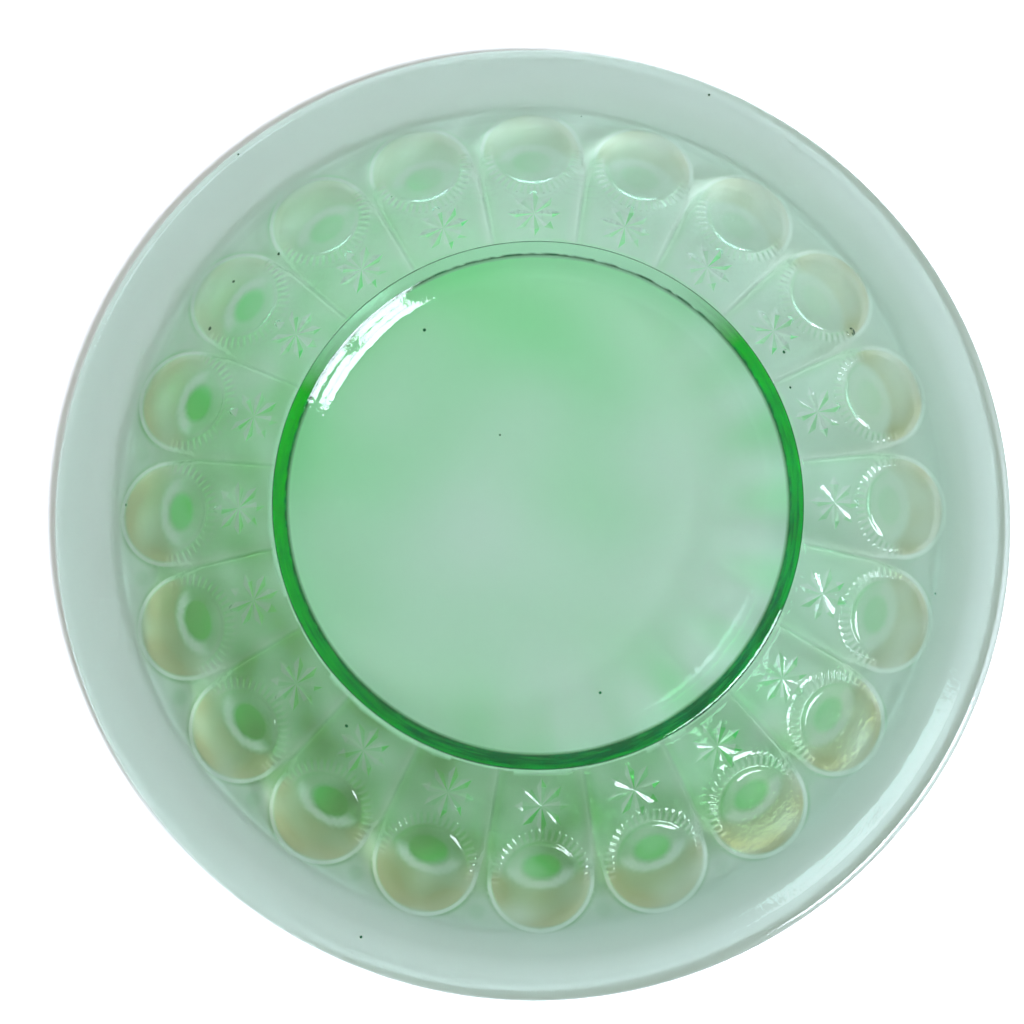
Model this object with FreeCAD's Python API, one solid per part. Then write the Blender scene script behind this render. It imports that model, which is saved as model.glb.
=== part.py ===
"""Pressed uranium glass dish, lying upside down on its rim, so that its pattern faces up.

Millimetres, +Z up. The origin is on the dish's axis, in the plane that the rim rests on. The foot
ring, on which the dish stands in use, faces +Z, and the hollow of the dish opens towards -Z.
"""
import FreeCAD, Part
import math
import os

# Overall size
RIM_DIAMETER = 230.0
OVERALL_HEIGHT = 30.0

# Foot ring and base
FOOT_DIAMETER = 121.4
FOOT_FACE_WIDTH = 3.2
FOOT_DEPTH = 3.8
FOOT_HOLLOW_RADIUS = 13.0
FOOT_SIDE_RUN = 0.7
FOOT_EDGE_RADIUS = 0.35
BASE_THICKNESS = 4.4

# Wall, a shallow cone from the foot ring to the flange
WALL_TOP_DROP = 0.4
WALL_FOOT_RADIUS = 98.0
WALL_FOOT_HEIGHT = 5.0
WALL_THICKNESS = 3.8
WALL_BEND_RADIUS = 14.0

# Flange and rim
FLANGE_START_RADIUS = 101.0
FLANGE_START_HEIGHT = 4.2
FLANGE_THICKNESS = 3.3
FLANGE_BEND_RADIUS = 3.0
RIM_THICKNESS = 3.8
RIM_EDGE_RADIUS = 1.7
RIM_LAND_WIDTH = 3.0

# Petals: flat fields with sloping edges and round ends, side by side all round the wall
PETAL_COUNT = 20
PETAL_RELIEF = 1.1
PETAL_ROOT = 1.0
PETAL_EDGE_RUN = 2.2
PETAL_START_RADIUS = 59.2
LOBE_RADIUS = 12.4
LOBE_CENTRE_RADIUS = 86.4

# Bull's-eye: a lens-shaped rise in each lobe
BULL_EYE_RADIUS = 9.4
BULL_EYE_RISE = 1.2
BULL_EYE_CENTRE_RADIUS = 86.4

# Eight-pointed star: kite-shaped notches that cross at its centre
STAR_POINTS = 8
STAR_CENTRE_RADIUS = 68.9
STAR_REACH = 6.3
STAR_HALF_WIDTH = 1.15
STAR_WIDEST = 0.68
STAR_DEPTH = 0.6
STAR_OVERLAP = 1.2
STAR_CLEARANCE = 0.5

# Derived sizes
RIM_RADIUS = RIM_DIAMETER / 2
FOOT_RADIUS = FOOT_DIAMETER / 2
FOOT_INNER_RADIUS = FOOT_RADIUS - FOOT_FACE_WIDTH
BASE_HEIGHT = OVERALL_HEIGHT - FOOT_DEPTH
INNER_BASE_HEIGHT = BASE_HEIGHT - BASE_THICKNESS
INNER_FLANGE_HEIGHT = FLANGE_START_HEIGHT - FLANGE_THICKNESS
WALL_TOP_RADIUS = FOOT_RADIUS + FOOT_SIDE_RUN
WALL_TOP_HEIGHT = BASE_HEIGHT - WALL_TOP_DROP
WALL_FALL = (WALL_TOP_HEIGHT - WALL_FOOT_HEIGHT) / (WALL_FOOT_RADIUS - WALL_TOP_RADIUS)
WALL_SLOPE = math.atan(WALL_FALL)
WALL_NORMAL = FreeCAD.Vector(math.sin(WALL_SLOPE), 0, math.cos(WALL_SLOPE))
PETAL_ANGLE = 360.0 / PETAL_COUNT
AXIS = FreeCAD.Vector(0, 0, 1)
ORIGIN = FreeCAD.Vector(0, 0, 0)


def in_section(radius, height):
    """A point of the dish's section, which lies in the XZ plane."""
    return FreeCAD.Vector(radius, 0, height)


def outer_wall_height(radius):
    """Height of the plain wall's outer surface, under the pattern."""
    return WALL_TOP_HEIGHT - (radius - WALL_TOP_RADIUS) * WALL_FALL


def inner_wall_radius(height):
    """Radius at which the wall's inner surface has a height."""
    drop = WALL_THICKNESS / math.cos(WALL_SLOPE)
    return WALL_TOP_RADIUS + (WALL_TOP_HEIGHT - drop - height) / WALL_FALL


def on_petal(radius, relief):
    """A point on the middle line of the first petal, raised from the wall along its normal."""
    return in_section(radius, outer_wall_height(radius)) + WALL_NORMAL * relief


def rounded_wire(corners):
    """A closed wire through (point, fillet radius) corners."""
    starts = []
    ends = []
    arcs = []
    for index, (point, fillet) in enumerate(corners):
        if fillet == 0:
            starts.append(point)
            ends.append(point)
            arcs.append(None)
            continue
        to_last = (corners[index - 1][0] - point).normalize()
        to_next = (corners[(index + 1) % len(corners)][0] - point).normalize()
        half_angle = to_last.getAngle(to_next) / 2
        tangent_length = fillet / math.tan(half_angle)
        bisector = (to_last + to_next).normalize()
        start = point + to_last * tangent_length
        middle = point + bisector * (fillet / math.sin(half_angle) - fillet)
        end = point + to_next * tangent_length
        starts.append(start)
        ends.append(end)
        arcs.append(Part.Arc(start, middle, end).toShape())
    edges = []
    for index, arc in enumerate(arcs):
        if arc:
            edges.append(arc)
        next_start = starts[(index + 1) % len(arcs)]
        edges.append(Part.LineSegment(ends[index], next_start).toShape())
    return Part.Wire(edges)


def revolved(wire):
    """The solid that a closed section sweeps round the dish's axis."""
    return Part.makeSolid(Part.Face(wire).revolve(ORIGIN, AXIS, 360))


def plain_dish():
    """Base, foot ring, wall, flange and rim, without the pattern."""
    corners = [
        (in_section(0, INNER_BASE_HEIGHT), 0),
        (in_section(0, OVERALL_HEIGHT), 0),
        (in_section(FOOT_RADIUS, OVERALL_HEIGHT), FOOT_EDGE_RADIUS),
        (in_section(WALL_TOP_RADIUS, WALL_TOP_HEIGHT), 0),
        (in_section(WALL_FOOT_RADIUS, WALL_FOOT_HEIGHT), FLANGE_BEND_RADIUS),
        (in_section(FLANGE_START_RADIUS, FLANGE_START_HEIGHT), FLANGE_BEND_RADIUS),
        (in_section(RIM_RADIUS, RIM_THICKNESS), RIM_EDGE_RADIUS),
        (in_section(RIM_RADIUS, 0), RIM_EDGE_RADIUS),
        (in_section(RIM_RADIUS - RIM_EDGE_RADIUS - RIM_LAND_WIDTH, 0), 0),
        (in_section(inner_wall_radius(INNER_FLANGE_HEIGHT), INNER_FLANGE_HEIGHT), WALL_BEND_RADIUS),
        (in_section(inner_wall_radius(INNER_BASE_HEIGHT), INNER_BASE_HEIGHT), WALL_BEND_RADIUS),
    ]
    return revolved(rounded_wire(corners)).cut(foot_hollow())


def foot_hollow():
    """The shallow hollow inside the foot ring: a flat floor with a concave edge."""
    rise = FOOT_HOLLOW_RADIUS - FOOT_DEPTH
    run = math.sqrt(FOOT_HOLLOW_RADIUS ** 2 - rise ** 2)
    floor_radius = FOOT_INNER_RADIUS - run
    half_angle = math.acos(rise / FOOT_HOLLOW_RADIUS) / 2
    middle = in_section(
        floor_radius + FOOT_HOLLOW_RADIUS * math.sin(half_angle),
        BASE_HEIGHT + FOOT_HOLLOW_RADIUS * (1 - math.cos(half_angle)),
    )
    floor_centre = in_section(0, BASE_HEIGHT)
    floor_edge = in_section(floor_radius, BASE_HEIGHT)
    foot_edge = in_section(FOOT_INNER_RADIUS, OVERALL_HEIGHT)
    mouth_centre = in_section(0, OVERALL_HEIGHT)
    wire = Part.Wire([
        Part.LineSegment(floor_centre, floor_edge).toShape(),
        Part.Arc(floor_edge, middle, foot_edge).toShape(),
        Part.LineSegment(foot_edge, mouth_centre).toShape(),
        Part.LineSegment(mouth_centre, floor_centre).toShape(),
    ])
    return revolved(wire)


def petal_outline(relief):
    """Level line of the first petal at a relief: straight sides that run into a round lobe."""
    spread = PETAL_EDGE_RUN * (1 - relief / PETAL_RELIEF)
    lobe_radius = LOBE_RADIUS - PETAL_EDGE_RUN + spread
    sector_half_width = PETAL_START_RADIUS * math.tan(math.radians(PETAL_ANGLE / 2))
    start_half_width = sector_half_width - PETAL_EDGE_RUN + spread
    to_lobe = LOBE_CENTRE_RADIUS - PETAL_START_RADIUS
    distance = math.hypot(to_lobe, start_half_width)
    side_angle = math.asin(lobe_radius / distance) - math.atan2(start_half_width, to_lobe)

    def at(radius, across):
        return on_petal(radius, relief) + FreeCAD.Vector(0, across, 0)

    touch_radius = LOBE_CENTRE_RADIUS - lobe_radius * math.sin(side_angle)
    touch_across = lobe_radius * math.cos(side_angle)
    left_start = at(PETAL_START_RADIUS, start_half_width)
    left_touch = at(touch_radius, touch_across)
    tip = at(LOBE_CENTRE_RADIUS + lobe_radius, 0)
    right_touch = at(touch_radius, -touch_across)
    right_start = at(PETAL_START_RADIUS, -start_half_width)
    return Part.Wire([
        Part.LineSegment(left_start, left_touch).toShape(),
        Part.Arc(left_touch, tip, right_touch).toShape(),
        Part.LineSegment(right_touch, right_start).toShape(),
        Part.LineSegment(right_start, left_start).toShape(),
    ])


def petal():
    """The first petal's body, without its star and bull's-eye."""
    root = petal_outline(-PETAL_ROOT)
    crest = petal_outline(PETAL_RELIEF)
    return Part.makeLoft([root, crest], True, True)


def bull_eye():
    """The lens in the first petal's lobe: a spherical cap on a stub sunk in the glass."""
    sphere_radius = (BULL_EYE_RADIUS ** 2 + BULL_EYE_RISE ** 2) / (2 * BULL_EYE_RISE)
    foot = on_petal(BULL_EYE_CENTRE_RADIUS, 0)
    centre = foot - WALL_NORMAL * (sphere_radius - BULL_EYE_RISE - PETAL_RELIEF)
    stub = Part.makeCylinder(BULL_EYE_RADIUS, 2 * BULL_EYE_RISE + PETAL_RELIEF, foot, WALL_NORMAL)
    return Part.makeSphere(sphere_radius, centre).common(stub)


def star_point(along, across, height):
    """A point near the first petal's star, from its centre, in the petal's own directions."""
    downhill = FreeCAD.Vector(math.cos(WALL_SLOPE), 0, -math.sin(WALL_SLOPE))
    centre = on_petal(STAR_CENTRE_RADIUS, PETAL_RELIEF)
    return centre + downhill * along + FreeCAD.Vector(0, across, 0) + WALL_NORMAL * height


def star_notch(angle):
    """The space of one kite-shaped notch, which starts past the star's centre."""
    def at(reach, width, height):
        along = reach * math.cos(angle) - width * math.sin(angle)
        across = reach * math.sin(angle) + width * math.cos(angle)
        return star_point(along, across, height)

    widest = STAR_REACH * STAR_WIDEST
    rim = [
        at(-STAR_OVERLAP, 0, 0),
        at(widest, STAR_HALF_WIDTH, 0),
        at(STAR_REACH, 0, 0),
        at(widest, -STAR_HALF_WIDTH, 0),
    ]
    lid = [
        at(-STAR_OVERLAP, 0, STAR_CLEARANCE),
        at(widest, STAR_HALF_WIDTH, STAR_CLEARANCE),
        at(STAR_REACH, 0, STAR_CLEARANCE),
        at(widest, -STAR_HALF_WIDTH, STAR_CLEARANCE),
    ]
    bottom = at(widest, 0, -STAR_DEPTH)
    faces = [Part.Face(Part.makePolygon(lid + lid[:1]))]
    for index in range(len(rim)):
        following = (index + 1) % len(rim)
        facet = [rim[index], rim[following], bottom, rim[index]]
        side = [rim[index], rim[following], lid[following], lid[index], rim[index]]
        faces.append(Part.Face(Part.makePolygon(facet)))
        faces.append(Part.Face(Part.makePolygon(side)))
    return Part.makeSolid(Part.makeShell(faces))


def star():
    """All the notches of the first petal's star."""
    return [star_notch(2 * math.pi * index / STAR_POINTS) for index in range(STAR_POINTS)]


def dish():
    """The whole dish as one solid."""
    pattern_unit = petal().fuse(bull_eye()).cut(star())
    pattern = []
    for index in range(PETAL_COUNT):
        turned = pattern_unit.copy()
        turned.rotate(ORIGIN, AXIS, index * PETAL_ANGLE)
        pattern.append(turned)
    return plain_dish().fuse(pattern)


os.makedirs("parts", exist_ok=True)
glass = dish()
print("solids", len(glass.Solids), "valid", glass.isValid(), "volume", round(glass.Volume / 1000, 1), "ml")
print("box", glass.BoundBox)
glass.Solids[0].exportStep("parts/dish.step")
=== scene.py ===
"""Uranium glass dish, lying upside down on its rim on a pale floor.

Lengths in the shape functions are millimetres, in the CAD frame: +Z up, the dish's axis at x = y = 0,
and the rim on z = 0. They become metres when the mesh is made. The pattern is made once, for the half
petal from the petal's middle line, y = 0, to its side line, and then turned and mirrored.
"""

import math

import bmesh
import bpy
from mathutils import Matrix, Vector, geometry, noise


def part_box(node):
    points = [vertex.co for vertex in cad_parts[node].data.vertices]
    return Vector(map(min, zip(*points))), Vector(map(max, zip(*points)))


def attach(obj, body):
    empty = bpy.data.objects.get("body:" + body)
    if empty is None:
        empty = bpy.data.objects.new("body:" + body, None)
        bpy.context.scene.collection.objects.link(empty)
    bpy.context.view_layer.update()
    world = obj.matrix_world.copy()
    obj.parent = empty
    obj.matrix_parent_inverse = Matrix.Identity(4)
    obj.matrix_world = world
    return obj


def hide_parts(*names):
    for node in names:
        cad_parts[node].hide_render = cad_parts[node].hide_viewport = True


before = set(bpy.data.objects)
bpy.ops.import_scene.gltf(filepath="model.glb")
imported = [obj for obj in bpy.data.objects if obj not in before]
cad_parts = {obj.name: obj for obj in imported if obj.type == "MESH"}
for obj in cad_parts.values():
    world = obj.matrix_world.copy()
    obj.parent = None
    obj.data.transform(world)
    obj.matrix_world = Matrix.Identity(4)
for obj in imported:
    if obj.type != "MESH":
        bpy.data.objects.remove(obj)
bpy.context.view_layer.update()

MM = 0.001
DISH_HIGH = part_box("dish")[1]

# Section of the dish
RIM_RADIUS = DISH_HIGH.x / MM
HEIGHT = DISH_HIGH.z / MM
FOOT_RADIUS = 60.7
FOOT_INNER_RADIUS = 57.5
FOOT_DEPTH = 3.8
FOOT_HOLLOW_RADIUS = 13.0
FOOT_EDGE = 0.35
FOOT_EDGE_DROP = 0.2
FOOT_CROWN = 3.9
BASE_HEIGHT = HEIGHT - FOOT_DEPTH
MOULD_LINE_RADIUS = 50.0
MOULD_LINE_HEIGHT = 0.05
MOULD_LINE_WIDTH = 0.35
WALL_TOP_RADIUS = 61.4
WALL_TOP_HEIGHT = BASE_HEIGHT - 0.4
WALL_FALL = 0.568
FLANGE_RADIUS = 101.0
FLANGE_HEIGHT = 4.2
FLANGE_FALL = 0.029
BEND_DROP = WALL_TOP_HEIGHT + WALL_TOP_RADIUS * WALL_FALL - FLANGE_HEIGHT - FLANGE_RADIUS * FLANGE_FALL
BEND_RADIUS = BEND_DROP / (WALL_FALL - FLANGE_FALL)
PATTERN_RADIUS = 102.6
RIM_BEAD = 1.85
INNER_BASE_HEIGHT = BASE_HEIGHT - 4.4
INNER_BASE_RADIUS = 61.4
INNER_BASE_BEND = 3.0
INNER_FLANGE_HEIGHT = 0.9
INNER_FLANGE_RADIUS = 98.0
LAND_INNER_RADIUS = 110.2

# Petals
PETALS = 20
HALF_SECTOR = math.pi / PETALS
PETAL_RELIEF = 1.3
PETAL_ROLL = 3.2
PETAL_ROLL_POWER = 2.2
PETAL_CROWN = 0.5
LOBE_RADIUS = 12.5
LOBE_CENTRE = 86.4
LOBE_NECK = LOBE_RADIUS / math.sin(HALF_SECTOR)

# Button in the lobe, and the ribs round its inner half
BUTTON_RADIUS = 9.4
BUTTON_RISE = 0.9
BUTTON_CURVE = 65.0
BUTTON_APEX = 80.9
BUTTON_SHOULDER = 1.5
BUTTON_FALL_START = 82.0
BUTTON_FALL_END = 88.0
RIB_INNER = 9.5
RIB_OUTER = 12.4
RIB_PITCH = math.radians(7.9)
RIB_COUNT = 12
RIB_HEIGHT = 0.32
RIB_LIP = 0.1
RIB_END = 0.22

# Star
STAR_CENTRE = 68.9
STAR_RAYS = 8
STAR_REACH = 6.3
STAR_WIDEST = 0.68
STAR_HALF_WIDTH = 1.15
STAR_DEPTH = 0.58
STAR_CENTRE_DEPTH = 0.22

# Moulded surface's waves: size and height of the wide and the fine ones
WIDE_WAVE = 17.0
WIDE_WAVE_HEIGHT = 0.045
FINE_WAVE = 4.3
FINE_WAVE_HEIGHT = 0.01

# Tints of the outer surface: partly the glass's own green, partly painted light and shade, as painted shade
# deeper on one side of the dish, painted shadows, painted pale highlights and dark edge lines
TINTS = {
    "green": (0.0, 0.8, 0.06),
    # Brownish-green tone of painted shade and painted shadow
    "painted_shade_olive": (0.62, 0.54, 0.24),
    "ring": (0.0, 0.3, 0.0),
    # Dark tone: mostly painted shade and dark edge lines, also the glass's specks
    "dark": (0.0, 0.03, 0.005),
}
# Turn round the dish where the painted shade on the petals is deepest
PAINTED_SHADE_TURN = math.radians(228)

# Tints of the base: its green in random patches and greener towards the foot ring, with painted shade
# greener on one side and painted light and shadow of the petals
BASE_GREEN = 0.26
BASE_PATCH = 26.0
BASE_PATCH_GAIN = 1.3
BASE_EDGE_GAIN = 0.6
BASE_SHADE_TURN = math.radians(108)
BASE_SHADE_GAIN = 1.3
BASE_PETAL_SHADOW_TURN = -0.5
BASE_PETAL_SHADOW_GAIN = 0.9

# Tints of the foot ring: the glass's deep green, with painted shade and painted light on its face
RING_GREEN = 0.35
RING_LIT_TURN = math.radians(96)
RING_LIT_REACH = 0.68
RING_LIT_BLEND = 0.15
RING_SHADE_TURN = math.radians(290)
RING_DARK_MEAN = 0.42
RING_SHADE_SWING = 0.5
RING_STREAK = 0.4
RING_SIDE_TOP = HEIGHT - 0.7
RING_SIDE_LOW = HEIGHT - 1.3

# Tints of the petals and the flange: the glass's green, and much painted light and shade
FIELD_GREEN = 0.3
FIELD_SHADE_OLIVE = 0.3
FIELD_SHADE_DARK = 0.36
FIELD_PATCH = 9.0
FIELD_PATCH_GAIN = 0.8
FIELD_DEEP_MEAN = 1.15
FIELD_SHADE_SWING = 0.85
OVAL_SHADE_GREEN = 0.3
OVAL_CENTRE = 83.0
OVAL_LENGTH = 3.3
OVAL_WIDTH = 4.9
CRESCENT_SHADOW = 0.85
CRESCENT_LIT_TURN = math.radians(105)
OUTLINE_LIGHT = 0.9
NOTCH_RADIUS = 94.8
NOTCH_GREEN = 0.5
NOTCH_DARK = 0.4
FLANGE_SHADE_GREEN = 0.06
FLANGE_SHADE_GREEN_TURN = -0.2
FLANGE_SHADE_DARK = 0.12
FLANGE_SHADE_DARK_TURN = math.radians(300)
RELIEF_SHADE = 0.6
RELIEF_LIMIT = 0.2
# Stars' facets: painted highlight and shade as each leans to the window, a random part, and a painted
# highlight on all
FACET_SHADE = 1.9
FACET_CHANCE = 0.5
FACET_HIGHLIGHT = 0.12

# Glass
GLASS_IOR = 1.5
DEPTH_COLOUR = (0.0, 0.9, 0.6, 1.0)
DEPTH_DENSITY = 28.0
# Glow of the surface: partly the faint green glow of uranium glass in daylight, partly painted light that
# lifts the glass's dark places
GLOW_COLOUR = (0.12, 1.0, 0.2, 1.0)
GLOW_STRENGTH = 0.007
SPECK_SCALE = 60.0
SPECK_REACH = 0.024
PEEL_SCALE = 700.0
PEEL_STRENGTH = 0.35
PEEL_DEPTH = 0.0001

# Window
WINDOW_TURN = math.radians(326)
WINDOW_ELEVATION = math.radians(45)
WINDOW_DISTANCE = 2.0
WINDOW_PANE = (0.43, 0.43)
WINDOW_SIDE_STEP = math.radians(9.4)
WINDOW_LEVEL_STEP = math.radians(6.6)
WINDOW_POWER = 12.7
WINDOW_COLOUR = (0.9, 0.96, 1.1)
WINDOW = Vector((
    math.cos(WINDOW_ELEVATION) * math.cos(WINDOW_TURN),
    math.cos(WINDOW_ELEVATION) * math.sin(WINDOW_TURN),
    math.sin(WINDOW_ELEVATION),
))

# Studio
ROOM_STRENGTH = 0.7
ROOM_LEAN = (-0.25, 0.65, -0.35)
ROOM_LEAN_FROM = -0.8
ROOM_LEAN_TO = 0.6
ROOM_DIM = (0.42, 0.36, 0.28, 1.0)
ROOM_BRIGHT = (1.15, 1.15, 1.15, 1.0)
HORIZON_COLOUR = (1.45, 1.45, 1.45, 1.0)
HORIZON_TOP = 0.25
FLOOR_HALF_SIZE = 12.0
FLOOR_HEIGHT = -0.00015
FLOOR_COLOUR = (0.9, 0.9, 0.9, 1.0)
FLOOR_GLOW = 0.55
FLOOR_GLOW_FROM = 0.6
FLOOR_GLOW_TO = 3.0

# Camera
CAMERA_PLACE = (-0.0164, -0.054, 0.52)
CAMERA_TURNS = {"Z": math.radians(0.532), "Y": math.radians(1.198), "X": math.radians(-6.026)}
CAMERA_LENS = 76.1
CAMERA_SENSOR = 36.0

# Mesh
FOOT_SEGMENTS = 640
RIM_SEGMENTS = 320
EDGE_STEP = 0.7
BEND_CLEARANCE = 0.3
STAR_CLEARANCE = 0.4
FILL_STEP = 0.85
WELD_DISTANCE = 0.0005
SHARP_ANGLE = math.radians(19)


def smoothstep(low, high, value):
    t = min(1.0, max(0.0, (value - low) / (high - low)))
    return t * t * (3 - 2 * t)


def within(low, high, value, edge):
    """1 between two limits, falling to 0 over an edge outside them."""
    return smoothstep(low - edge, low, value) * smoothstep(high + edge, high, value)


def roll(t):
    """Height of a rolled edge, 0 at its foot and 1 once t reaches 1."""
    return 1 - (1 - min(1.0, max(0.0, t))) ** PETAL_ROLL_POWER


def wall_height(radius):
    return WALL_TOP_HEIGHT - (radius - WALL_TOP_RADIUS) * WALL_FALL


def flange_height(radius):
    return FLANGE_HEIGHT - (radius - FLANGE_RADIUS) * FLANGE_FALL


def field_normal(x, y):
    """Normal of the plain petal field at a point."""
    radius = math.hypot(x, y)
    return Vector((WALL_FALL * x / radius, WALL_FALL * y / radius, 1.0)).normalized()


def from_middle_line(turn):
    """Angle from the middle line of the nearest petal."""
    return (turn + HALF_SECTOR) % (2 * HALF_SECTOR) - HALF_SECTOR


def inside_petal(x, y):
    """Distance inside the outline of the petal along +X, negative outside it."""
    sine, cosine = math.sin(HALF_SECTOR), math.cos(HALF_SECTOR)
    if x * cosine + abs(y) * sine < LOBE_NECK * cosine:
        return x * sine - abs(y) * cosine
    centre = min(max(x, LOBE_NECK), LOBE_CENTRE)
    return LOBE_RADIUS - math.hypot(x - centre, y)


def button_height(x, y):
    """The button's height over the petal's field, and how far the lobe falls away outwards."""
    bulge = BUTTON_RISE - ((x - BUTTON_APEX) ** 2 + y * y) / (2 * BUTTON_CURVE)
    rho = math.hypot(x - LOBE_CENTRE, y)
    rise = max(0.0, bulge) * roll((BUTTON_RADIUS - rho) / BUTTON_SHOULDER)
    fall = min(0.0, bulge) * smoothstep(BUTTON_FALL_START, BUTTON_FALL_END, x)
    return rise + fall


def rib_height(x, y):
    """Height of the fine ribs, and of the low lip that they stand on, round the button's inner half."""
    rho = math.hypot(x - LOBE_CENTRE, y)
    turn = math.atan2(abs(y), LOBE_CENTRE - x)
    reach = RIB_COUNT * RIB_PITCH
    side = 1 - smoothstep(reach - RIB_PITCH, reach, turn)
    lip = smoothstep(RIB_OUTER + 0.9, RIB_OUTER, rho) * smoothstep(RIB_INNER - 0.2, RIB_INNER + 0.4, rho)
    along = (rho - RIB_INNER) / (RIB_OUTER - RIB_INNER)
    if not 0 < along < 1:
        return RIB_LIP * lip * side
    wave = 0.5 - 0.5 * math.cos(2 * math.pi * turn / RIB_PITCH)
    length = smoothstep(0, RIB_END, along) * smoothstep(1, 1 - RIB_END, along)
    return (RIB_LIP * lip + RIB_HEIGHT * wave * length) * side


def pattern_height(x, y):
    """Height of the patterned wall over a point of the petal along +X, without its star."""
    radius = math.hypot(x, y)
    base = max(wall_height(radius), flange_height(radius))
    field_radius = x + PETAL_CROWN * (radius - x)
    top = wall_height(field_radius) + PETAL_RELIEF + button_height(x, y) + rib_height(x, y)
    return base + max(0.0, top - base) * roll(inside_petal(x, y) / PETAL_ROLL)


def waviness(point):
    """How far the moulded surface departs from the ideal one at a point."""
    wide = noise.noise(Vector(point) / WIDE_WAVE)
    fine = noise.noise(Vector(point) / FINE_WAVE + Vector((7.0, 3.0, 1.0)))
    return WIDE_WAVE_HEIGHT * wide + FINE_WAVE_HEIGHT * fine


def star_features():
    """The star's corners in the half petal, as (x, y, depth), and the creases between them."""
    corners = [(STAR_CENTRE, 0.0, STAR_CENTRE_DEPTH)]
    creases = []
    for ray in range(STAR_RAYS // 2 + 1):
        angle = 2 * math.pi * ray / STAR_RAYS
        sine, cosine = math.sin(angle), math.cos(angle)
        shape = [
            (STAR_REACH * STAR_WIDEST, STAR_HALF_WIDTH, 0.0),
            (STAR_REACH, 0.0, 0.0),
            (STAR_REACH * STAR_WIDEST, -STAR_HALF_WIDTH, 0.0),
            (STAR_REACH * STAR_WIDEST, 0.0, STAR_DEPTH),
        ]
        numbers = {}
        for place, (along, across, depth) in enumerate(shape):
            x = STAR_CENTRE + along * cosine - across * sine
            y = along * sine + across * cosine
            if y > -1e-6:
                numbers[place] = len(corners)
                corners.append((x, y if y > 1e-6 else 0.0, depth))
        for first, second in ((0, 1), (1, 2), (0, 3), (1, 3), (2, 3)):
            if first in numbers and second in numbers:
                creases.append((numbers[first], numbers[second]))
        for place in numbers:
            if place != 1:
                creases.append((0, numbers[place]))
    return corners, creases


def in_star(x, y, margin):
    """Whether a point is within a margin of a notch of the star."""
    along, across = x - STAR_CENTRE, y
    widest = STAR_REACH * STAR_WIDEST
    for ray in range(STAR_RAYS):
        angle = 2 * math.pi * ray / STAR_RAYS
        u = along * math.cos(angle) + across * math.sin(angle)
        v = abs(across * math.cos(angle) - along * math.sin(angle))
        if u < widest:
            width = STAR_HALF_WIDTH * u / widest
        else:
            width = STAR_HALF_WIDTH * (STAR_REACH - u) / (STAR_REACH - widest)
        if -margin < u < STAR_REACH + margin and v < max(width, 0.0) + margin:
            return True
    return False


class PointSet:
    """Points of the half petal, none nearer to another than its own spacing allows."""

    CELL = 1.0

    def __init__(self):
        self.points = []
        self.cells = {}

    def add(self, x, y, spacing=0.0):
        cell_x, cell_y = int(x // self.CELL), int(y // self.CELL)
        if spacing:
            for i in range(cell_x - 1, cell_x + 2):
                for j in range(cell_y - 1, cell_y + 2):
                    for other_x, other_y in self.cells.get((i, j), ()):
                        if math.hypot(x - other_x, y - other_y) < spacing:
                            return None
        self.points.append((x, y))
        self.cells.setdefault((cell_x, cell_y), []).append((x, y))
        return len(self.points) - 1


def on_side(distance):
    """Point of the half petal's side line at a distance from the axis."""
    return distance * math.cos(HALF_SECTOR), distance * math.sin(HALF_SECTOR)


def on_arc(radius, i, count):
    """Point i of count along an arc about the axis, from the middle line to the side line."""
    angle = HALF_SECTOR * i / count
    return radius * math.cos(angle), radius * math.sin(angle)


def edge_distances():
    """Distances from the axis of the points along the half petal's two straight sides."""
    reach = PATTERN_RADIUS - WALL_TOP_RADIUS
    count = round(reach / EDGE_STEP)
    even = [WALL_TOP_RADIUS + reach * i / count for i in range(count + 1)]
    return sorted([x for x in even if abs(x - BEND_RADIUS) > BEND_CLEARANCE] + [BEND_RADIUS])


def add_outline(chosen, corners, distances):
    """Adds the half petal's outline, and returns its points' numbers in order."""
    inner_count = FOOT_SEGMENTS // PETALS // 2
    outer_count = RIM_SEGMENTS // PETALS // 2
    middle_line = [x for x, y, _ in corners if y == 0.0]
    low, high = min(middle_line) - STAR_CLEARANCE, max(middle_line) + STAR_CLEARANCE
    kept = [x for x in distances if x < low or x > high]
    loop = []
    for x in sorted(kept + middle_line):
        if x in middle_line:
            loop.append(chosen.points.index((x, 0.0)))
        else:
            loop.append(chosen.add(x, 0.0))
    for i in range(1, outer_count + 1):
        loop.append(chosen.add(*on_arc(PATTERN_RADIUS, i, outer_count)))
    for distance in reversed(distances[1:-1]):
        loop.append(chosen.add(*on_side(distance)))
    for i in range(inner_count, 0, -1):
        loop.append(chosen.add(*on_arc(WALL_TOP_RADIUS, i, inner_count)))
    return loop


def add_bend(chosen):
    """Adds the bend between wall and flange, and returns its creases."""
    count = RIM_SEGMENTS // PETALS
    bend = [chosen.points.index((BEND_RADIUS, 0.0))]
    bend += [chosen.add(*on_arc(BEND_RADIUS, i, count)) for i in range(1, count)]
    bend.append(chosen.points.index(on_side(BEND_RADIUS)))
    return list(zip(bend, bend[1:]))


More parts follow.
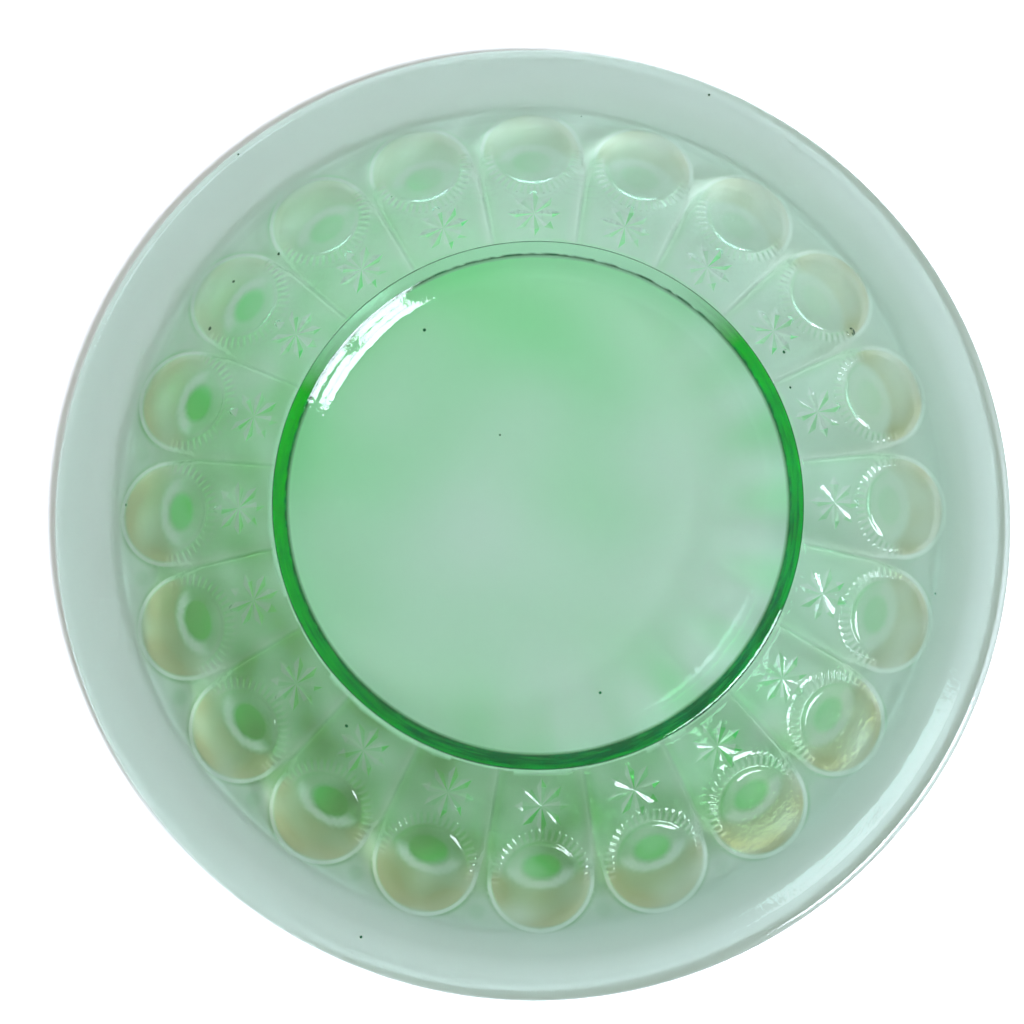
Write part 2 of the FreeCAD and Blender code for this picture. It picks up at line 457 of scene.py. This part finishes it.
def add_fill(chosen, distances):
    """Adds points inside the half petal: round the ribs and lobe, along the side, and on an even grid."""
    sine, cosine = math.sin(HALF_SECTOR), math.cos(HALF_SECTOR)

    def offer(x, y, spacing):
        radius = math.hypot(x, y)
        from_side = x * sine - y * cosine
        clear = WALL_TOP_RADIUS + spacing / 2 < radius < PATTERN_RADIUS - spacing / 2
        if clear and y > spacing / 2 and from_side > spacing / 2 and not in_star(x, y, 0.18):
            chosen.add(x, y, spacing)

    def offer_arc(rho, reach, steps, spacing):
        for i in range(steps + 1):
            turn = reach * i / steps
            offer(LOBE_CENTRE - rho * math.cos(turn), rho * math.sin(turn), spacing)

    for ring in range(11):
        offer_arc(RIB_INNER - 0.15 + ring * 0.33, RIB_COUNT * RIB_PITCH, RIB_COUNT * 8, 0.12)
    for rho in (8.0, 8.25, 8.5, 8.75, 9.0, 9.2):
        offer_arc(rho, math.pi, 64, 0.2)
    for rho in (9.5, 9.9, 10.3, 10.7, 11.1, 11.5, 11.8, 12.1, 12.35, 12.5, 12.7, 13.0, 13.5):
        offer_arc(rho, math.pi, 48, 0.22)
    for away in (0.2, 0.45, 0.75, 1.1, 1.5, 2.0, 2.6, 3.2):
        for distance in distances:
            x, y = on_side(distance)
            offer(x + away * sine, y - away * cosine, 0.3)
    rows = int((PATTERN_RADIUS - WALL_TOP_RADIUS) / FILL_STEP) + 3
    for row in range(rows):
        for column in range(int(PATTERN_RADIUS * sine / FILL_STEP) + 2):
            x = WALL_TOP_RADIUS - 1 + row * FILL_STEP
            offer(x, (column + 0.5 * (row % 2)) * FILL_STEP, 0.6 * FILL_STEP)


def half_petal():
    """Points and triangles of the patterned wall between a petal's middle line and its side."""
    corners, creases = star_features()
    chosen = PointSet()
    depths = {chosen.add(x, y): depth for x, y, depth in corners}
    distances = edge_distances()
    loop = add_outline(chosen, corners, distances)
    creases += add_bend(chosen)
    add_fill(chosen, distances)

    flat = [Vector(p) for p in chosen.points]
    result = geometry.delaunay_2d_cdt(flat, creases, [loop], 1, 1e-5)
    points = []
    for place, sources in zip(result[0], result[3]):
        depth = max([depths.get(i, 0.0) for i in sources], default=0.0)
        points.append((place.x, place.y, pattern_height(place.x, place.y) - depth))
    return points, [tuple(face) for face in result[2]]


def foot_section():
    """Section of the outer surface from the axis, over the foot ring, to the wall: (radius, height)."""
    rise = FOOT_HOLLOW_RADIUS - FOOT_DEPTH
    run = math.sqrt(FOOT_HOLLOW_RADIUS ** 2 - rise ** 2)
    floor_radius = FOOT_INNER_RADIUS - run
    hollow_turn = math.asin(run / FOOT_HOLLOW_RADIUS)
    section = [(radius, BASE_HEIGHT) for radius in (2.0, 7.0, 13.0, 19.0, 25.0, 31.0, 37.0, 42.0, 46.0)]
    steps = 9
    for i in range(steps + 1):
        turn = hollow_turn * i / steps
        radius = floor_radius + FOOT_HOLLOW_RADIUS * math.sin(turn)
        height = BASE_HEIGHT + FOOT_HOLLOW_RADIUS * (1 - math.cos(turn))
        height += MOULD_LINE_HEIGHT * math.exp(-((radius - MOULD_LINE_RADIUS) / MOULD_LINE_WIDTH) ** 2)
        section.append((radius, height - (FOOT_EDGE if i == steps else 0.0)))
    middle = (FOOT_INNER_RADIUS + FOOT_RADIUS) / 2
    for away in (-1.42, -1.1, -0.8, -0.5, -0.2, 0.2, 0.5, 0.8, 1.1):
        section.append((middle + away, HEIGHT - away * away / (2 * FOOT_CROWN)))
    for i in range(5):
        turn = math.pi / 2 * i / 4
        radius = FOOT_RADIUS - FOOT_EDGE + FOOT_EDGE * math.sin(turn)
        section.append((radius, HEIGHT - FOOT_EDGE_DROP - FOOT_EDGE + FOOT_EDGE * math.cos(turn)))
    section += [(FOOT_RADIUS + 0.15, HEIGHT - 1.4), (FOOT_RADIUS + 0.35, HEIGHT - 2.6)]
    return section


def rim_section():
    """Section from the pattern's edge, round the rim and along the inner surface, to the axis."""
    section = [(radius, flange_height(radius)) for radius in (104.5, 107.0, 109.5, 112.0)]
    centre = RIM_RADIUS - RIM_BEAD
    top = flange_height(centre)
    for i in range(13):
        turn = math.pi * i / 12
        section.append((centre + RIM_BEAD * math.sin(turn), top / 2 + top / 2 * math.cos(turn)))
    section += [(LAND_INNER_RADIUS, 0.0), (LAND_INNER_RADIUS - 1.2, 0.25), (LAND_INNER_RADIUS - 3.0, 0.7)]
    section += [(radius, INNER_FLANGE_HEIGHT) for radius in (105.0, 102.0)]
    section.append((INNER_FLANGE_RADIUS, INNER_FLANGE_HEIGHT))

    fall = (INNER_BASE_HEIGHT - INNER_FLANGE_HEIGHT) / (INNER_FLANGE_RADIUS - INNER_BASE_RADIUS)
    for i in range(1, 12):
        radius = INNER_FLANGE_RADIUS + (INNER_BASE_RADIUS - INNER_FLANGE_RADIUS) * i / 12
        section.append((radius, INNER_FLANGE_HEIGHT + (INNER_FLANGE_RADIUS - radius) * fall))
    bend = math.atan(fall)
    reach = INNER_BASE_BEND * math.tan(bend / 2)
    for i in range(7):
        turn = bend * (6 - i) / 6
        radius = INNER_BASE_RADIUS - reach + INNER_BASE_BEND * math.sin(turn)
        section.append((radius, INNER_BASE_HEIGHT - INNER_BASE_BEND * (1 - math.cos(turn))))
    inner_radii = (55.0, 50.0, 44.0, 38.0, 31.0, 24.0, 17.0, 10.0, 4.0)
    section += [(radius, INNER_BASE_HEIGHT) for radius in inner_radii]
    return section


def dish_surface():
    """Vertices and faces of the whole dish's surface, before its waves."""
    numbers = {}
    vertices = []
    faces = []

    def vertex(x, y, z):
        key = (round(x, 4), round(y, 4), round(z, 4))
        if key not in numbers:
            numbers[key] = len(vertices)
            vertices.append((x, y, z))
        return numbers[key]

    def ring(radius, height, segments):
        turns = [2 * math.pi * i / segments for i in range(segments)]
        return [vertex(radius * math.cos(t), radius * math.sin(t), height) for t in turns]

    def edge_ring(radius, segments):
        """The pattern's own vertices round one of its two edges."""
        found = []
        for i in range(segments):
            turn = 2 * math.pi * i / segments
            local = abs(from_middle_line(turn))
            height = pattern_height(radius * math.cos(local), radius * math.sin(local))
            found.append(vertex(radius * math.cos(turn), radius * math.sin(turn), height))
        return found

    def join(inner, outer):
        """Faces between two rings, the second further along the surface, whose outside is on its left."""
        count = len(inner)
        for i in range(count):
            j = (i + 1) % count
            faces.append((inner[i], outer[i], outer[j], inner[j]))

    def cap(rim_ring, height, upwards):
        centre = vertex(0.0, 0.0, height)
        for i, corner in enumerate(rim_ring):
            following = rim_ring[(i + 1) % len(rim_ring)]
            faces.append((centre, corner, following) if upwards else (centre, following, corner))

    def add_petals():
        points, triangles = half_petal()
        for petal in range(PETALS):
            turn = 2 * HALF_SECTOR * petal
            cosine, sine = math.cos(turn), math.sin(turn)
            for mirror in (1, -1):
                placed = []
                for x, y, z in points:
                    y *= mirror
                    placed.append(vertex(x * cosine - y * sine, x * sine + y * cosine, z))
                for triangle in triangles:
                    corners = tuple(placed[i] for i in triangle)
                    faces.append(corners if mirror == 1 else corners[::-1])

    foot, rim = foot_section(), rim_section()
    inner_rings = [ring(radius, height, FOOT_SEGMENTS) for radius, height in foot]
    cap(inner_rings[0], foot[0][1], True)
    for inner, outer in zip(inner_rings, inner_rings[1:]):
        join(inner, outer)
    add_petals()
    join(inner_rings[-1], edge_ring(WALL_TOP_RADIUS, FOOT_SEGMENTS))
    outer_rings = [edge_ring(PATTERN_RADIUS, RIM_SEGMENTS)]
    outer_rings += [ring(radius, height, RIM_SEGMENTS) for radius, height in rim]
    for inner, outer in zip(outer_rings, outer_rings[1:]):
        join(inner, outer)
    cap(outer_rings[-1], rim[-1][1], False)
    return vertices, faces


def mark_edges(shaped):
    """Smooth faces, with crisp edges round the foot, in the stars and at the flange's bends."""
    for edge in shaped.edges:
        if len(edge.link_faces) == 2 and edge.calc_face_angle() > SHARP_ANGLE:
            x, y, _ = (edge.verts[0].co + edge.verts[1].co) / 2
            radius = math.hypot(x, y)
            star_zone = WALL_TOP_RADIUS - 2 < radius < STAR_CENTRE + STAR_REACH + 0.1
            bend = abs(radius - INNER_FLANGE_RADIUS) < 0.1 or abs(radius - BEND_RADIUS) < 0.05
            edge.smooth = not (star_zone or bend)
    for face in shaped.faces:
        face.smooth = True


def add_waves(shaped):
    """Moves the surface by its waves, apart from the foot's face and the rim."""
    shaped.normal_update()
    moves = [vert.normal * waviness(vert.co) for vert in shaped.verts]
    for vert, move in zip(shaped.verts, moves):
        if FLANGE_RADIUS + 1 > math.hypot(vert.co.x, vert.co.y) and vert.co.z < HEIGHT - 0.5:
            vert.co += move
    shaped.normal_update()


def base_tints(x, y, radius, turn):
    """Green of the base in soft patches, with painted shade on one side and painted light and shadow of the
    petals near the foot ring.
    """
    wide = noise.noise(Vector((x, y, 0.0)) / BASE_PATCH)
    out = radius / FOOT_INNER_RADIUS
    # Painted light and shadow of the petals, as the window's light casts them through the wall, on the
    # window's side
    petals = smoothstep(0.7, 0.9, out) * math.cos(PETALS * turn)
    petals *= max(0.0, math.cos(turn - BASE_PETAL_SHADOW_TURN))
    # Painted shade: greener towards one side of the dish
    lean = out * out * math.cos(turn - BASE_SHADE_TURN)
    gain = 1 + BASE_EDGE_GAIN * out ** 4 + BASE_PATCH_GAIN * wide
    gain += BASE_SHADE_GAIN * lean + BASE_PETAL_SHADOW_GAIN * petals
    return BASE_GREEN * gain, 0.0, 0.0, 0.0


def ring_tints(x, y, z, radius, turn):
    """Deep green of the foot ring's face, with painted shade as dark lines at its edges and swinging round
    the ring, and a pale stretch of painted light.
    """
    jag = 0.25 * noise.noise(Vector((x, y, 0.0)) / 1.7)
    # Painted shade: dark lines along the face's two edges
    inner_shade_line = within(FOOT_INNER_RADIUS - 0.1, FOOT_INNER_RADIUS + 0.12 + jag, radius, 0.2)
    outer_shade_line = within(FOOT_RADIUS - 0.2, FOOT_RADIUS + 0.5, radius, 0.15)
    outer_shade_line *= smoothstep(RING_SIDE_LOW, RING_SIDE_TOP, z)
    # Painted light: a pale stretch on one side of the ring
    toward = math.cos(turn - RING_LIT_TURN)
    pale = smoothstep(RING_LIT_REACH - RING_LIT_BLEND, RING_LIT_REACH + RING_LIT_BLEND, toward)
    pale = max(pale, smoothstep(RING_SIDE_TOP, RING_SIDE_LOW, z))
    streak = noise.noise(Vector((radius * 2.0, turn * 9.0, 0.0)))
    # Darkening of the face: partly the glass's depth of green, with painted shade that swings round the ring
    # and random streaks
    depth = RING_DARK_MEAN + RING_SHADE_SWING * math.cos(turn - RING_SHADE_TURN) + RING_STREAK * streak
    depth *= 1.1 - 0.45 * smoothstep(59.3, 60.4, radius)
    depth = max(0.0, depth) * (1 - pale)
    return RING_GREEN, 0.0, 1 - pale, min(1.0, max(inner_shade_line, outer_shade_line, depth))


def petal_tints(x, y, z, normal, radius, turn):
    """Tints of a petal and of the flange: the glass's green in random patches, with painted shade deeper on
    one side of the dish, a painted shadow in each lobe's crescent, a green oval of painted shade inside a
    pale halo of painted light, a pale outline of painted light, painted highlight and shade as the surface
    faces the window, dark green spots in the notches, and painted shade on the flange.
    """
    local = from_middle_line(turn)
    along, across = radius * math.cos(local), radius * math.sin(local)
    rho = math.hypot(along - LOBE_CENTRE, across)
    oval = math.hypot((along - OVAL_CENTRE) / OVAL_LENGTH, across / OVAL_WIDTH)
    # Painted light: a pale halo round the oval
    halo = within(1.15, 1.5, oval, 0.25) * smoothstep(OVAL_CENTRE - 1, OVAL_CENTRE + 2, along)
    # Painted shadow in the crescent of each lobe, paler on the lit side of the dish
    crescent = smoothstep(1.4, 1.9, oval) * smoothstep(11.9, 11.0, rho) * smoothstep(82.0, 87.0, along)
    crescent *= 0.6 + 0.4 * smoothstep(6.0, 10.5, rho)
    # Painted light: a pale outline round the lobe's outer edge
    line = OUTLINE_LIGHT * within(11.7, 12.3, rho, 0.35) * smoothstep(83.0, 89.0, along)
    field = smoothstep(100.0, 96.5, radius)
    field *= 1 - 0.7 * smoothstep(12.6, 13.4, rho) * smoothstep(88.0, 93.0, radius)
    field *= 1 - line

    # Painted shade: deepest on one side of the dish
    shade = math.cos(turn - PAINTED_SHADE_TURN)
    depth_and_shade = FIELD_DEEP_MEAN + FIELD_SHADE_SWING * shade
    wide = 1 + FIELD_PATCH_GAIN * noise.noise(Vector((x, y, z)) / FIELD_PATCH)
    side_away = radius * (HALF_SECTOR - abs(local))
    # Dark green spots in the notches between lobes, stronger on the side of painted shade
    notch = smoothstep(2.6, 1.0, math.hypot(radius - NOTCH_RADIUS, side_away)) * max(0.2, shade)
    # Painted highlight and shade: paler where the surface turns towards the window, greener where it turns
    # away
    painted_light_lean = (normal - field_normal(x, y)).dot(WINDOW)

    green = FIELD_GREEN * wide * depth_and_shade * (1 - halo) * (1 - 0.4 * crescent)
    # Painted shade: a green oval in each lobe
    green += OVAL_SHADE_GREEN * depth_and_shade * smoothstep(1.1, 0.7, oval)
    green -= min(RELIEF_LIMIT, max(-RELIEF_LIMIT, RELIEF_SHADE * painted_light_lean))
    green += NOTCH_GREEN * notch
    painted_shade_olive = CRESCENT_SHADOW * crescent * wide * (0.9 - 0.5 * max(0.0, math.cos(turn - CRESCENT_LIT_TURN)))
    painted_shade_olive += FIELD_SHADE_OLIVE * max(0.0, shade) * (1 - halo) * wide
    dark = FIELD_SHADE_DARK * max(0.0, shade) * (1 - halo) * wide * (1 - 0.7 * crescent)
    dark += NOTCH_DARK * NOTCH_GREEN * notch

    # Painted shade on the inner flange, deepest on one side of the dish
    flange_shade_green = FLANGE_SHADE_GREEN * smoothstep(110.0, 103.0, radius) * (1 + math.cos(turn - FLANGE_SHADE_GREEN_TURN))
    flange_shade_dark = FLANGE_SHADE_DARK * smoothstep(109.5, 104.0, radius) * (1 + math.cos(turn - FLANGE_SHADE_DARK_TURN))
    green = max(flange_shade_green, max(0.0, green) * field)
    dark = max(0.0, dark) * field + flange_shade_dark * (1 - line)
    return green, max(0.0, painted_shade_olive) * field, 0.0, min(1.0, dark)


def tints(x, y, z, normal):
    """Amounts of the green, brownish-green painted shade, ring and dark tints at a point of the surface,
    none on the inner side; much of each is painted light or shade.
    """
    radius = math.hypot(x, y)
    turn = math.atan2(y, x)
    if radius < FOOT_RADIUS + 2:
        inner_side = z < BASE_HEIGHT - 1.5
    else:
        inner_side = normal.z < 0.02
    if inner_side:
        return 0.0, 0.0, 0.0, 0.0
    if radius < FOOT_INNER_RADIUS - 0.3:
        return base_tints(x, y, radius, turn)
    if radius < WALL_TOP_RADIUS:
        return ring_tints(x, y, z, radius, turn)
    return petal_tints(x, y, z, normal, radius, turn)


def star_facet_light_and_tone(face):
    """How much green a face adds to its tints: only the stars' facets differ, with painted highlight and
    shade as each leans towards or away from the window, a random part, and a painted highlight that makes
    every facet paler.
    """
    x, y, z = face.calc_center_median()
    radius = math.hypot(x, y)
    local = from_middle_line(math.atan2(y, x))
    if face.normal.z <= 0.1 or not in_star(radius * math.cos(local), radius * math.sin(local), 0.0):
        return 0.0
    chance = noise.noise(Vector((x, y, z)) * 1.3)
    # Painted highlight and shade: paler as the facet leans towards the window
    lean = (face.normal - field_normal(x, y)).dot(WINDOW)
    return FACET_CHANCE * chance - FACET_SHADE * lean - FACET_HIGHLIGHT


def dish_mesh():
    """The whole dish as one closed mesh, in metres, with its tints, which carry painted light and shade, as
    attributes.
    """
    vertices, faces = dish_surface()
    mesh = bpy.data.meshes.new("dish_glass")
    mesh.from_pydata(vertices, [], faces)
    shaped = bmesh.new()
    shaped.from_mesh(mesh)
    bmesh.ops.remove_doubles(shaped, verts=shaped.verts, dist=WELD_DISTANCE)
    bmesh.ops.recalc_face_normals(shaped, faces=shaped.faces)
    mark_edges(shaped)
    add_waves(shaped)
    layers = [shaped.verts.layers.float.new(name) for name in TINTS]
    for vert in shaped.verts:
        for layer, amount in zip(layers, tints(*vert.co, vert.normal)):
            vert[layer] = amount
    facet_light_and_tone = shaped.faces.layers.float.new("facet_light_and_tone")
    for face in shaped.faces:
        face[facet_light_and_tone] = star_facet_light_and_tone(face)
    bmesh.ops.scale(shaped, vec=(MM, MM, MM), verts=shaped.verts)
    shaped.to_mesh(mesh)
    shaped.free()
    return mesh


def glass_material():
    """Clear glass, greener with depth, with the surface's tints, which carry painted light and shade, a
    faint glow that is partly painted light, specks and a fine bump.
    """
    material = bpy.data.materials.new("uranium_glass")
    material.use_nodes = True
    nodes, links = material.node_tree.nodes, material.node_tree.links
    nodes.clear()
    output = nodes.new("ShaderNodeOutputMaterial")
    shader = nodes.new("ShaderNodeBsdfPrincipled")
    shader.inputs["Transmission Weight"].default_value = 1.0
    shader.inputs["Roughness"].default_value = 0.0
    shader.inputs["IOR"].default_value = GLASS_IOR
    shader.inputs["Emission Color"].default_value = GLOW_COLOUR
    shader.inputs["Emission Strength"].default_value = GLOW_STRENGTH
    links.new(shader.outputs["BSDF"], output.inputs["Surface"])
    depth = nodes.new("ShaderNodeVolumeAbsorption")
    depth.inputs["Color"].default_value = DEPTH_COLOUR
    depth.inputs["Density"].default_value = DEPTH_DENSITY
    links.new(depth.outputs["Volume"], output.inputs["Volume"])

    place = nodes.new("ShaderNodeTexCoord")
    cells = nodes.new("ShaderNodeTexVoronoi")
    cells.inputs["Scale"].default_value = SPECK_SCALE
    links.new(place.outputs["Object"], cells.inputs["Vector"])
    speck = nodes.new("ShaderNodeMath")
    speck.operation = "LESS_THAN"
    speck.inputs[1].default_value = SPECK_REACH
    links.new(cells.outputs["Distance"], speck.inputs[0])
    facet_light_and_tone = nodes.new("ShaderNodeAttribute")
    facet_light_and_tone.attribute_name = "facet_light_and_tone"

    extras = {"green": facet_light_and_tone.outputs["Fac"], "dark": speck.outputs["Value"]}
    colour = None
    for name, tone in TINTS.items():
        source = nodes.new("ShaderNodeAttribute")
        source.attribute_name = name
        amount = source.outputs["Fac"]
        if name in extras:
            total = nodes.new("ShaderNodeMath")
            total.operation = "ADD"
            total.use_clamp = True
            links.new(amount, total.inputs[0])
            links.new(extras[name], total.inputs[1])
            amount = total.outputs["Value"]
        mix = nodes.new("ShaderNodeMix")
        mix.data_type = "RGBA"
        links.new(amount, mix.inputs["Factor"])
        mix.inputs["A"].default_value = (1.0, 1.0, 1.0, 1.0)
        if colour:
            links.new(colour, mix.inputs["A"])
        mix.inputs["B"].default_value = (*tone, 1.0)
        colour = mix.outputs["Result"]
    links.new(colour, shader.inputs["Base Color"])

    peel = nodes.new("ShaderNodeTexNoise")
    peel.inputs["Scale"].default_value = PEEL_SCALE
    peel.inputs["Detail"].default_value = 2.0
    links.new(place.outputs["Object"], peel.inputs["Vector"])
    bump = nodes.new("ShaderNodeBump")
    bump.inputs["Strength"].default_value = PEEL_STRENGTH
    bump.inputs["Distance"].default_value = PEEL_DEPTH
    links.new(peel.outputs["Fac"], bump.inputs["Height"])
    links.new(bump.outputs["Normal"], shader.inputs["Normal"])
    return material


def add_dish():
    dish = bpy.data.objects.new("dish_glass", dish_mesh())
    bpy.context.scene.collection.objects.link(dish)
    dish.data.materials.append(glass_material())
    dish.cycles.is_caustics_caster = True
    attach(dish, "root")
    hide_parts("dish")


def floor_material():
    """Pale matt floor, which glows with distance, as a studio's lit floor does."""
    material = bpy.data.materials.new("pale_floor")
    material.use_nodes = True
    nodes, links = material.node_tree.nodes, material.node_tree.links
    shader = nodes["Principled BSDF"]
    shader.inputs["Base Color"].default_value = FLOOR_COLOUR
    shader.inputs["Roughness"].default_value = 0.8
    shader.inputs["Specular IOR Level"].default_value = 0.1
    place = nodes.new("ShaderNodeTexCoord")
    away = nodes.new("ShaderNodeVectorMath")
    away.operation = "LENGTH"
    links.new(place.outputs["Object"], away.inputs[0])
    glow = nodes.new("ShaderNodeMapRange")
    glow.inputs["From Min"].default_value = FLOOR_GLOW_FROM
    glow.inputs["From Max"].default_value = FLOOR_GLOW_TO
    glow.inputs["To Max"].default_value = FLOOR_GLOW
    links.new(away.outputs["Value"], glow.inputs["Value"])
    links.new(glow.outputs["Result"], shader.inputs["Emission Strength"])
    return material


def add_floor():
    mesh = bpy.data.meshes.new("floor")
    turns = ((-1, -1), (1, -1), (1, 1), (-1, 1))
    corners = [(x * FLOOR_HALF_SIZE, y * FLOOR_HALF_SIZE, FLOOR_HEIGHT) for x, y in turns]
    mesh.from_pydata(corners, [], [(0, 1, 2, 3)])
    mesh.materials.append(floor_material())
    floor = bpy.data.objects.new("floor", mesh)
    bpy.context.scene.collection.objects.link(floor)
    floor.cycles.is_caustics_receiver = True


def add_pane(name, azimuth, elevation, casts_caustics):
    """One pane of the window, facing the dish."""
    data = bpy.data.lights.new(name, "AREA")
    data.shape = "RECTANGLE"
    data.size, data.size_y = WINDOW_PANE
    data.energy = WINDOW_POWER
    data.color = WINDOW_COLOUR
    light = bpy.data.objects.new(name, data)
    away = Vector((
        math.cos(elevation) * math.cos(azimuth),
        math.cos(elevation) * math.sin(azimuth),
        math.sin(elevation),
    ))
    light.location = away * WINDOW_DISTANCE
    light.rotation_euler = away.to_track_quat("Z", "Y").to_euler()
    data.cycles.is_caustics_light = casts_caustics
    bpy.context.scene.collection.objects.link(light)


def add_window():
    """Four panes, each a plain light and one that the glass focuses, of equal power."""
    for side in (-1, 1):
        for level in (-1, 1):
            for casts_caustics in (False, True):
                turn = WINDOW_TURN + side * WINDOW_SIDE_STEP
                elevation = WINDOW_ELEVATION + level * WINDOW_LEVEL_STEP
                add_pane(f"window_{side}_{level}_{casts_caustics}", turn, elevation, casts_caustics)


def add_room():
    """Soft light from all round, dimmer on one side, with a pale horizon."""
    world = bpy.data.worlds.new("studio")
    world.use_nodes = True
    nodes, links = world.node_tree.nodes, world.node_tree.links
    background = nodes["Background"]
    background.inputs["Strength"].default_value = ROOM_STRENGTH
    place = nodes.new("ShaderNodeTexCoord")
    lean = nodes.new("ShaderNodeVectorMath")
    lean.operation = "DOT_PRODUCT"
    lean.inputs[1].default_value = ROOM_LEAN
    links.new(place.outputs["Generated"], lean.inputs[0])
    ramp = nodes.new("ShaderNodeMapRange")
    ramp.inputs["From Min"].default_value = ROOM_LEAN_FROM
    ramp.inputs["From Max"].default_value = ROOM_LEAN_TO
    links.new(lean.outputs["Value"], ramp.inputs["Value"])
    shade = nodes.new("ShaderNodeMix")
    shade.data_type = "RGBA"
    shade.inputs["A"].default_value = ROOM_DIM
    shade.inputs["B"].default_value = ROOM_BRIGHT
    links.new(ramp.outputs["Result"], shade.inputs["Factor"])
    split = nodes.new("ShaderNodeSeparateXYZ")
    links.new(place.outputs["Generated"], split.inputs["Vector"])
    low = nodes.new("ShaderNodeMapRange")
    low.inputs["From Min"].default_value = HORIZON_TOP
    low.inputs["From Max"].default_value = HORIZON_TOP / 2
    links.new(split.outputs["Z"], low.inputs["Value"])
    horizon = nodes.new("ShaderNodeMix")
    horizon.data_type = "RGBA"
    horizon.inputs["B"].default_value = HORIZON_COLOUR
    links.new(low.outputs["Result"], horizon.inputs["Factor"])
    links.new(shade.outputs["Result"], horizon.inputs["A"])
    links.new(horizon.outputs["Result"], background.inputs["Color"])
    bpy.context.scene.world = world


def add_camera():
    data = bpy.data.cameras.new("camera")
    data.lens = CAMERA_LENS
    data.sensor_width = CAMERA_SENSOR
    camera = bpy.data.objects.new("camera", data)
    turn = Matrix.Identity(3)
    for axis, angle in CAMERA_TURNS.items():
        turn = turn @ Matrix.Rotation(angle, 3, axis)
    camera.matrix_world = Matrix.Translation(CAMERA_PLACE) @ turn.transposed().to_4x4()
    bpy.context.scene.collection.objects.link(camera)
    bpy.context.scene.camera = camera


def set_rendering():
    """Straight colours, and enough bounces for light to leave the glass."""
    scene = bpy.context.scene
    scene.view_settings.view_transform = "Standard"
    scene.view_settings.look = "None"
    scene.cycles.max_bounces = 16
    scene.cycles.transmission_bounces = 16
    scene.cycles.transparent_max_bounces = 8
    scene.cycles.sample_clamp_indirect = 6.0


add_camera()
add_floor()
add_room()
add_window()
add_dish()
set_rendering()
